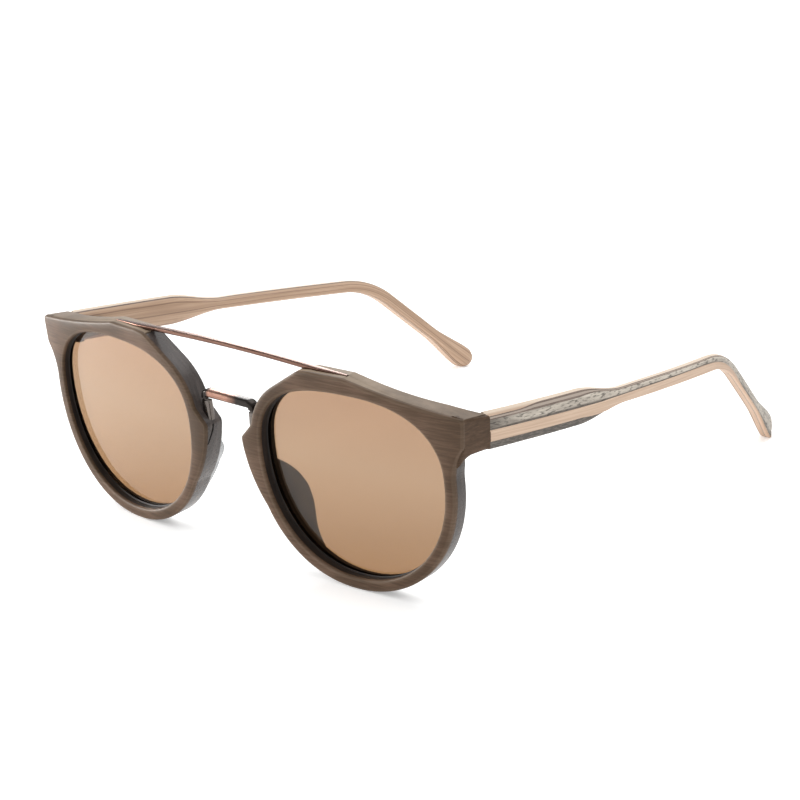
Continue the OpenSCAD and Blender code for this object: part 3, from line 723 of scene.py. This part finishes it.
turns = (0, TAPER_FROM, TAPER_TO, ARM_LEN, ARM_LEN + bend_len, path_len)
stations = np.concatenate([
    [0], *(np.linspace(a, b, n)[1:] for a, b, n in zip(turns, turns[1:], (18, 20, 20, 16, 24))),
    path_len + TIP_R*np.sin(np.radians([15, 30, 45, 58, 70, 80, 86]))])
slope = ARM_FALL + np.clip((stations - ARM_LEN)/EAR_R, 0, EAR_DROP - ARM_FALL)
straight, past = np.minimum(stations, ARM_LEN), np.maximum(stations - ARM_LEN - bend_len, 0)
line_y = (ARM_Y + straight*math.cos(ARM_FALL) + EAR_R*(np.sin(slope) - math.sin(ARM_FALL))
          + past*math.cos(EAR_DROP))
line_z = (arm_z - straight*math.sin(ARM_FALL) - EAR_R*(math.cos(ARM_FALL) - np.cos(slope))
          - past*math.sin(EAR_DROP))
beyond = np.clip((stations - path_len)/TIP_R, 0, 1)
half = (ARM_H + (SLIM_H - ARM_H)*ease((stations - TAPER_FROM)/(TAPER_TO - TAPER_FROM)))/2
half = half + (TIP_R - SLIM_H/2)*ease((stations - path_len + TIP_FLARE)/TIP_FLARE)
half = half*np.sqrt(1 - beyond**2)
tilt_y, tilt_z = np.sin(slope), np.cos(slope)
tilt_y[0], tilt_z[0] = 0.0, 1/math.cos(ARM_FALL)
slimmed = np.sqrt(1 - (TIP_SLIM*beyond)**2)
print("Temple: %.1f mm along the line, %d sections" % (path_len + TIP_R, len(stations)))

# %% [markdown]
# ## Temples: the plies
# A temple is glued up from thin sheets: tan, stained grey, a dark line, a tan core, a second dark line
# and a tan sheet inside. Shaping its round section cuts through them, so each shows as a band along
# the temple. Each ply is a loft: at every station the section's upper and lower edge is read at the
# ply's two depths. A single block with painted stripes would not show the glue lines at the ends.

# %% Loft the plies
PLY_DEPTHS = {"veneer": (0, 0.2, 0.4), "grey": (0.4, 0.55, 0.8, 1.05, 1.3), "outer_line": (1.3, 1.6),
              "core": (1.6, 1.9, 2.25, 2.6, 2.95), "inner_line": (2.95, 3.25),
              "inner": (3.25, 3.55, 3.9, 4.2)}
KNOTS = np.array([0, 0.4, 0.55, 1.3, 1.6, 2.1, 2.6, 3.25, 3.8, 4.2])


def shares(*tables):
    """Shares of the half height that the section reaches at each knot, at each station."""
    return np.stack([np.interp(stations, *zip(*table)) for table in tables], axis=1)


inside = [[(0, 1.0)], [(0, 0.94)], [(0, 0.78)], [(0, 0.55)]]
belly = [(0, 1.06), (44, 1.0)]
upper = shares(
    [(0, -0.03), (42, -0.05), (50, 0.08), (60, 0.19), (92, 0.3), (104, 0.05), (112, -0.5), (120, -0.9)],
    [(0, 0.04), (42, 0.02), (50, 0.15), (60, 0.26), (92, 0.38), (104, 0.1), (112, -0.45), (120, -0.88)],
    [(0, 0.14), (42, 0.12), (50, 0.25), (60, 0.36), (92, 0.48), (112, 0.3)],
    [(0, 0.54), (34, 0.56), (42, 0.8), (60, 0.83), (80, 0.87), (92, 0.82), (112, 0.98)],
    [(0, 0.74), (12, 0.77), (18, 0.93), (34, 0.95), (42, 1.0), (60, 1.1), (92, 1.0), (112, 1.1)],
    [(0, 1.06), (45, 1.07), (56, 1.18), (130, 1.18), (145, 1.05)],
    [(0, 1.02), (45, 1.04), (56, 1.18), (130, 1.18), (145, 1.05)],
    [(0, 0.86), (45, 0.88), (56, 1.0), (130, 1.0), (145, 0.92)], *inside[2:])
lower = shares([(0, 0.57), (34, 0.57), (44, 0.9)], [(0, 0.6), (34, 0.6), (44, 0.94)],
               [(0, 1.04), (44, 1.0)], belly, belly, belly, *inside)


def ply(name, depths, sign):
    """A ply between its depths, marked with its place in the grain, its share of height and its figure."""
    columns, marks, share_marks = [], [], []
    for table, way in ((upper, 1), (lower, -1)):
        for w in depths[::way]:
            share = way*np.array([np.interp(w, KNOTS, row) for row in table])
            v = share*half
            y, z = line_y + v*tilt_y, line_z + v*tilt_z
            x = OUTER_X - sag(CURVE_R, y - CURVE_Y) - (ARM_T/2 + (w - ARM_T/2)*slimmed)
            x = np.where(y < SEAT_END, np.maximum(x, SEAT_X), x)
            columns.append(np.stack([x*sign, y, z], -1))
            marks.append(np.stack([stations, v, np.full(len(v), w)], -1))
            share_marks.append(share)
    loops = np.stack(columns, axis=1)*MM
    return loft(name, list(loops), sharp=32, grain=np.stack(marks, axis=1).reshape(-1, 3)*MM,
                share=np.stack(share_marks, axis=1).ravel(),
                figure=np.full(loops.size//3, 1.0 if "inner" in name else 0.0))


for side, sign in SIDES.items():
    for layer, depths in PLY_DEPTHS.items():
        pieces[side + "_" + layer] = ply(side + "_temple_" + layer, depths, sign)
print("Plies: %d lofts of %d sections each" % (2*len(PLY_DEPTHS), len(stations)))

# %% [markdown]
# ## Woods of the temples
# The plies are sliced maple and ash. The maple is pale tan with faint streaks; on the inside, cut at an
# angle, a few dark lines run together towards the taper. The ash is stained grey, so its open pores
# stay nearly black while the hard wood between them is light; under the ear it is sanded to bare tan.
# The dark lines are thin wenge. The patterns follow the temple through the values stored on its points.
# On the drop past the ear both woods are painted darker as shade, and the maple's top edge is painted
# pale as a highlight.

# %% Maple, ash and wenge
MAPLE_STREAKS, MAPLE_SWAY, LINE_SPACING = (22, 0.45, 0.45), (30, 0, 0), 0.36
ASH_STREAKS, ASH_BROAD, ASH_PORES = (6, 0.5, 0.6), (16, 1.6, 0), (1.8, 0.35, 0.4)
WENGE_STREAKS, PALE_AT, PALE_HALF = (5, 0.3, 0.3), 1.45*MM, 0.06*MM
DROP, EAR, BUTT, GLUE = (98*MM, 112*MM), (94*MM, 106*MM), (13*MM, 2*MM), (0.66*MM, 0.52*MM)

# To the eye: pale tan, satin, with faint streaks along the temple.
maple, tree, shader, grain = finish("maple_ply", "grain")
axes = add(tree, "SeparateXYZ", [grain]).outputs
share = add(tree, "Attribute", attribute_name="share").outputs["Fac"]
streak = drawn_out(tree, grain, MAPLE_STREAKS, Detail=4.0)
tan, deep = (add(tree, "ValToRGB", [streak], stops) for stops in (
    ((0.3, "b89a83"), (0.5, "c6a990"), (0.7, "d2b79f")), ((0.3, "a1836b"), (0.5, "b09177"), (0.7, "bea188"))))
sway = drawn_out(tree, grain, MAPLE_SWAY)
level = add(tree, "Math", (sway, 0.25, share), operation="MULTIPLY_ADD")
beat = add(tree, "Math", (level, LINE_SPACING), operation="PINGPONG")
line = add(tree, "MapRange", (beat, 0.06, 0.02, 0, 0.7))
figure = add(tree, "Attribute", attribute_name="figure").outputs["Fac"]
line = add(tree, "Math", (line, figure), operation="MULTIPLY")
# Darker tan on the drop past the ear is painted shade, and the pale band along the top edge is a painted
# highlight.
drop = add(tree, "MapRange", (axes["X"], *DROP, 0, 0.45))
painted_top_light = add(tree, "MapRange", (share, 0.8, 0.95, 0, 0.65))
colour = tan
coats = (drop, linear("9c7d66")), (painted_top_light, linear("eadbc9")), (figure, deep), (line, linear("6f533f"))
for cover, wood in coats:
    colour = add(tree, "Mix", {0: cover, 6: colour, 7: wood}, data_type="RGBA")
bump = add(tree, "Bump", {"Height": streak, "Strength": 0.12, "Distance": 0.06*MM})
fill(tree, shader, {"Base Color": colour, "Normal": bump, "Roughness": 0.5})

# To the eye: light grey wood with nearly black pores in long streaks, darker at the glue line.
ash, tree, shader, grain = finish("ash_stained_grey", "grain")
axes = add(tree, "SeparateXYZ", [grain]).outputs
share = add(tree, "Attribute", attribute_name="share").outputs["Fac"]
streak = drawn_out(tree, grain, ASH_STREAKS, Detail=5.0, Roughness=0.65)
broad = drawn_out(tree, grain, ASH_BROAD, Detail=1.0)
tone = add(tree, "Math", (broad, 0.8, streak), operation="MULTIPLY_ADD")
tone = add(tree, "Math", (tone, 0.55), operation="MULTIPLY")
greys = (0.36, "9a9085"), (0.46, "b8aea1"), (0.54, "c6bcae"), (0.66, "d4cabd")
grey = add(tree, "ValToRGB", [tone], greys)
drop, past_ear, butt, glue, under, low_edge = (add(tree, "MapRange", span) for span in (
    (axes["X"], *DROP, 0, 0.4), (axes["X"], *EAR), (axes["X"], *BUTT, 0, 0.75),
    (axes["Z"], *GLUE, 0, 0.85), (share, -0.3, -0.5, 0, 0.36), (share, -0.8, -0.9)))
dark = add(tree, "Math", (glue, past_ear), operation="SUBTRACT", use_clamp=True)
for shade in (butt, under):
    dark = add(tree, "Math", (dark, shade), operation="MAXIMUM")
pores = drawn_out(tree, grain, ASH_PORES, Detail=2.0)
pores = add(tree, "Math", (under, 0.3, pores), operation="MULTIPLY_ADD")
pores = add(tree, "MapRange", (pores, 0.52, 0.64, 0, 0.75))
bare = add(tree, "Math", (past_ear, low_edge), operation="MULTIPLY")
colour = grey
# The drop mask paints the grey darker on the drop past the ear: painted shade.
for cover, stain in ((drop, "8f877d"), (dark, "4a4139"), (pores, "3a352f"), (bare, "bfa189")):
    colour = add(tree, "Mix", {0: cover, 6: colour, 7: linear(stain)}, data_type="RGBA")
bump = add(tree, "Bump", {"Height": streak, "Strength": 0.25, "Distance": 0.1*MM})
fill(tree, shader, {"Base Color": colour, "Normal": bump, "Roughness": 0.55})

# To the eye: two thin brown lines with a pale one between, matt.
wenge, tree, shader, grain = finish("wenge_line", "grain")
axes = add(tree, "SeparateXYZ", [grain]).outputs
streak = drawn_out(tree, grain, WENGE_STREAKS, Detail=3.0)
brown = add(tree, "ValToRGB", [streak], ((0.3, "5f5046"), (0.7, "85756a")))
within = add(tree, "Math", (axes["Z"], PALE_AT, PALE_HALF), operation="COMPARE")
colour = add(tree, "Mix", {0: within, 6: brown, 7: linear("ab9c8f")}, data_type="RGBA")
fill(tree, shader, {"Base Color": colour, "Roughness": 0.6})
print("Woods of the temples ready")

# %% [markdown]
# ## Rivets and screws
# The hinge leaves are riveted on, and a slotted screw holds each pair of leaves. The same rivet repeats,
# so a Geometry Nodes tree makes one domed rivet and sets it on points that say which way they face.
# A second tree does the same for the screw and cuts its slot.

# %% Set the rivets and screws
HEAD_SIZES = (("Points", "Geometry"), ("Head radius", "Float"))
SHANK_SIZES = (("Shank radius", "Float"), ("Shank length", "Float"), ("Material", "Material"))


def set_on_points(tree, given, head, **turning):
    """Puts a shank under the head and sets both on the points."""
    radius, length = given["Shank radius"], given["Shank length"]
    shank = add(tree, "MeshCylinder", {"Vertices": 28, "Radius": radius, "Depth": length})
    drop = add(tree, "ShaderNodeMath", (length, -0.5), operation="MULTIPLY")
    drop = add(tree, "ShaderNodeCombineXYZ", {"Z": drop})
    sunk = add(tree, "Transform", {"Geometry": shank, "Translation": drop})
    whole = add(tree, "JoinGeometry", {"Geometry": head})
    fill(tree, whole, {"Geometry": sunk})
    spread = add(tree, "InstanceOnPoints", {"Points": given["Points"], "Instance": whole, **turning})
    end_tree(tree, spread, given["Material"])


rivets, given = new_tree("rivets_on_points", *HEAD_SIZES, ("Dome", "Vector"), *SHANK_SIZES)
head = add(rivets, "MeshUVSphere", {"Segments": 28, "Rings": 14, "Radius": given["Head radius"]})
dome = add(rivets, "Transform", {"Geometry": head, "Scale": given["Dome"]})
facing = add(rivets, "InputNamedAttribute", {"Name": "facing"}, data_type="FLOAT_VECTOR")
turn = add(rivets, "FunctionNodeAlignRotationToVector", {"Vector": facing}, axis="Z")
set_on_points(rivets, given, dome, Rotation=turn)

LEAF_T, RIVET_R, RIVET_IN, RIVET_HEAD, RIVET_DOME = 1.0, 0.5, 1.6, 0.85, 0.3
FRONT_RIVET_Y, FRONT_RIVET_Z, LEAF_FROM, ARM_RIVET_Y = -3.0, 1.2, 1.4, (2.0, 5.0)
leaf_x, pin_y = SEAT_X - LEAF_T, (BUTT_Y + ARM_Y)/2
spots = {"front_rivets": [(s*leaf_x, pin_y + FRONT_RIVET_Y, hinge_z + z)
                          for s in (1, -1) for z in (-FRONT_RIVET_Z, FRONT_RIVET_Z)]}
for side, sign in SIDES.items():
    spots[side + "_rivets"] = [(sign*leaf_x, pin_y + LEAF_FROM + y, hinge_z) for y in ARM_RIVET_Y]
for name, where in spots.items():
    pieces[name] = grown("domed_" + name, rivets, {
        "Head radius": RIVET_HEAD*MM, "Dome": (1, 1, RIVET_DOME/RIVET_HEAD), "Shank radius": RIVET_R*MM,
        "Shank length": (LEAF_T + RIVET_IN)*MM, "Material": gunmetal},
        where, facing=[(-np.sign(p[0]), 0, 0) for p in where])

screws, given = new_tree("slotted_screws_on_points", *HEAD_SIZES, ("Head height", "Float"),
                         ("Slot", "Vector"), *SHANK_SIZES)
radius, height = given["Head radius"], given["Head height"]
crown = add(screws, "ShaderNodeMath", (radius, 0.86), operation="MULTIPLY")
head = add(screws, "MeshCone", {
    "Vertices": 40, "Radius Top": crown, "Radius Bottom": radius, "Depth": height})
high = add(screws, "ShaderNodeCombineXYZ", {"Z": height})
blade = add(screws, "MeshCube", {"Size": given["Slot"]})
blade = add(screws, "Transform", {"Geometry": blade, "Translation": high})
slotted = add(screws, "MeshBoolean", {"Mesh 1": head, "Mesh 2": blade},
              operation="DIFFERENCE", solver="EXACT")
set_on_points(screws, given, slotted)

PIN_X, LEAF_H, SCREW_R, HEAD_R, HEAD_H, SLOT_W, SLOT_D = 65.4, 4.4, 0.6, 1.1, 0.5, 0.3, 0.5
pieces["screws"] = grown("slotted_hinge_screws", screws, {
    "Head radius": HEAD_R*MM, "Head height": HEAD_H*MM, "Slot": (3*HEAD_R*MM, SLOT_W*MM, SLOT_D*MM),
    "Shank radius": SCREW_R*MM, "Shank length": LEAF_H*MM, "Material": gunmetal},
    [(s*PIN_X, pin_y, hinge_z + LEAF_H/2) for s in (1, -1)])
print("Rivets: %d, screws: 2" % sum(len(where) for where in spots.values()))

# %% [markdown]
# ## Dress the bodies
# Each dressed piece takes its material, stands for its CAD node and rides on that node's body, so the
# temples still fold. The hinge leaves and the hidden pins keep their CAD shape and get the plate.

# %% Materials and bodies


def coat(obj, material):
    obj.data.materials.clear()
    obj.data.materials.append(material)


slots = {walnut: "walnut_wood", acetate: "acetate", lens_brown: "tinted_lens", copper: "copper_plate",
         gunmetal: "gunmetal", maple: "tan_wood", ash: "grey_wood", wenge: "dark_wood"}
woods = {"veneer": maple, "grey": ash, "outer_line": wenge,
         "core": maple, "inner_line": wenge, "inner": maple}
dress = {"bar": (copper, "brow_bar", "front"), "bridge": (copper, "bridge", "front"),
         "front_rivets": (gunmetal, "front_leaf_rivets", "front"),
         "screws": (gunmetal, "hinge_screws", "front")}
for side in SIDES:
    arm = side + "_temple"
    for key, material, node, body in (
            ("_wood_face", walnut, "_rim_face", "front"), ("_cap", walnut, "_rim_face", "front"),
            ("_acetate", acetate, "_rim_back", "front"), ("_lens", lens_brown, "_lens", "front"),
            ("_pad", acetate, "_nose_pad", "front"), ("_endpiece", walnut, "_endpiece", "front"),
            ("_rivets", gunmetal, "_temple_rivets", arm),
            *(("_" + layer, wood, "_%s_ply" % layer, arm) for layer, wood in woods.items())):
        dress[side + key] = (material, side + node, body)
for key, (material, node, body) in dress.items():
    obj, slot = pieces[key], slots[material]
    coat(obj, material)
    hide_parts(node)
    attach(obj, body)
kept = [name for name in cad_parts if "leaf" in name and "rivets" not in name or name.endswith("_pins")]
for name in kept:
    coat(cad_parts[name], gunmetal)
print("Dressed %d pieces, kept %d CAD nodes: %s" % (len(dress), len(kept), ", ".join(sorted(kept))))

# %% [markdown]
# ## Table and light
# The glasses stand on a plain white table that is lit from below, under broad soft light, so the shadows
# are faint. One panel hangs above, a small one stands low at the front left and gives the far rim its
# sheen, and one behind shines along the top edges.

# %% Table, lights and surround
TABLE_HALF = 6
table_mesh = bpy.data.meshes.new("table")
table_mesh.from_pydata([(x*TABLE_HALF, y*TABLE_HALF, 0) for x, y in ((-1, -1), (1, -1), (1, 1), (-1, 1))],
                       [], [(0, 1, 2, 3)])
table = linked("table", table_mesh)
white = bpy.data.materials.new("table_white_lit_from_below")
white.use_nodes = True
fill(white.node_tree, white.node_tree.nodes["Principled BSDF"], {
    "Base Color": linear("f4f4f3"), "Roughness": 0.8, "Emission Color": linear("ffffff"),
    "Emission Strength": 0.3})
table_mesh.materials.append(white)

world = bpy.data.worlds.new("surround")
world.use_nodes = True
fill(world.node_tree, world.node_tree.nodes["Background"], {"Color": linear("f4f5f6"), "Strength": 0.75})
bpy.context.scene.world = world


def panel(name, spot, target, size, watts):
    light = bpy.data.lights.new(name, "AREA")
    light.shape, light.size, light.size_y, light.energy = "RECTANGLE", size[0], size[1], watts
    obj = linked(name, light)
    obj.location = spot
    obj.rotation_euler = (Vector(target) - Vector(spot)).to_track_quat("-Z", "Y").to_euler()


panel("panel_above", (0.0, 0.25, 1.0), (0, 0, 0), (1.0, 1.0), 7.0)
panel("card_left", (-0.46, -0.22, 0.09), (-0.06, -0.07, 0.03), (0.3, 0.16), 3.5)
panel("panel_behind", (-0.82, 0.8, 0.58), (0, -0.07, 0.05), (0.34, 0.24), 2.4)
bpy.context.scene.view_settings.view_transform = "Standard"
print("Three panels and a surround")

# %% [markdown]
# ## Camera
# The viewing angle was worked out from the photograph's own symmetry: the two rims and temples are
# mirror images, which fixes the turn, the height and the distance of the camera.

# %% Camera
AZIMUTH, ELEVATION, ROLL = math.radians(41.74), math.radians(18.0), math.radians(-1.39)
FOCAL_PX, IMAGE_PX, SENSOR = 2086.6, 800, 36.0
ASIDE, UP, DISTANCE, BASE_H = 39.64, 36.41, 504.83, 0.7
away = Vector((math.sin(AZIMUTH)*math.cos(ELEVATION), -math.cos(AZIMUTH)*math.cos(ELEVATION),
               math.sin(ELEVATION)))
level = Vector((math.cos(AZIMUTH), math.sin(AZIMUTH), 0))
rise = away.cross(level)
level, rise = level*math.cos(ROLL) + rise*math.sin(ROLL), rise*math.cos(ROLL) - level*math.sin(ROLL)
spot = (level*ASIDE + rise*UP + away*DISTANCE)*MM + Vector((0, apex_y*MM, BASE_H*MM))
camera_data = bpy.data.cameras.new("camera")
camera_data.sensor_width = SENSOR
camera_data.lens = FOCAL_PX/IMAGE_PX*SENSOR
camera_data.clip_start = 0.01
camera = linked("camera", camera_data)
camera.matrix_world = Matrix.Translation(spot) @ Matrix((level, rise, away)).transposed().to_4x4()
bpy.context.scene.camera = camera
print("Camera %.0f mm from the glasses, lens %.1f mm" % (spot.length/MM, camera_data.lens))
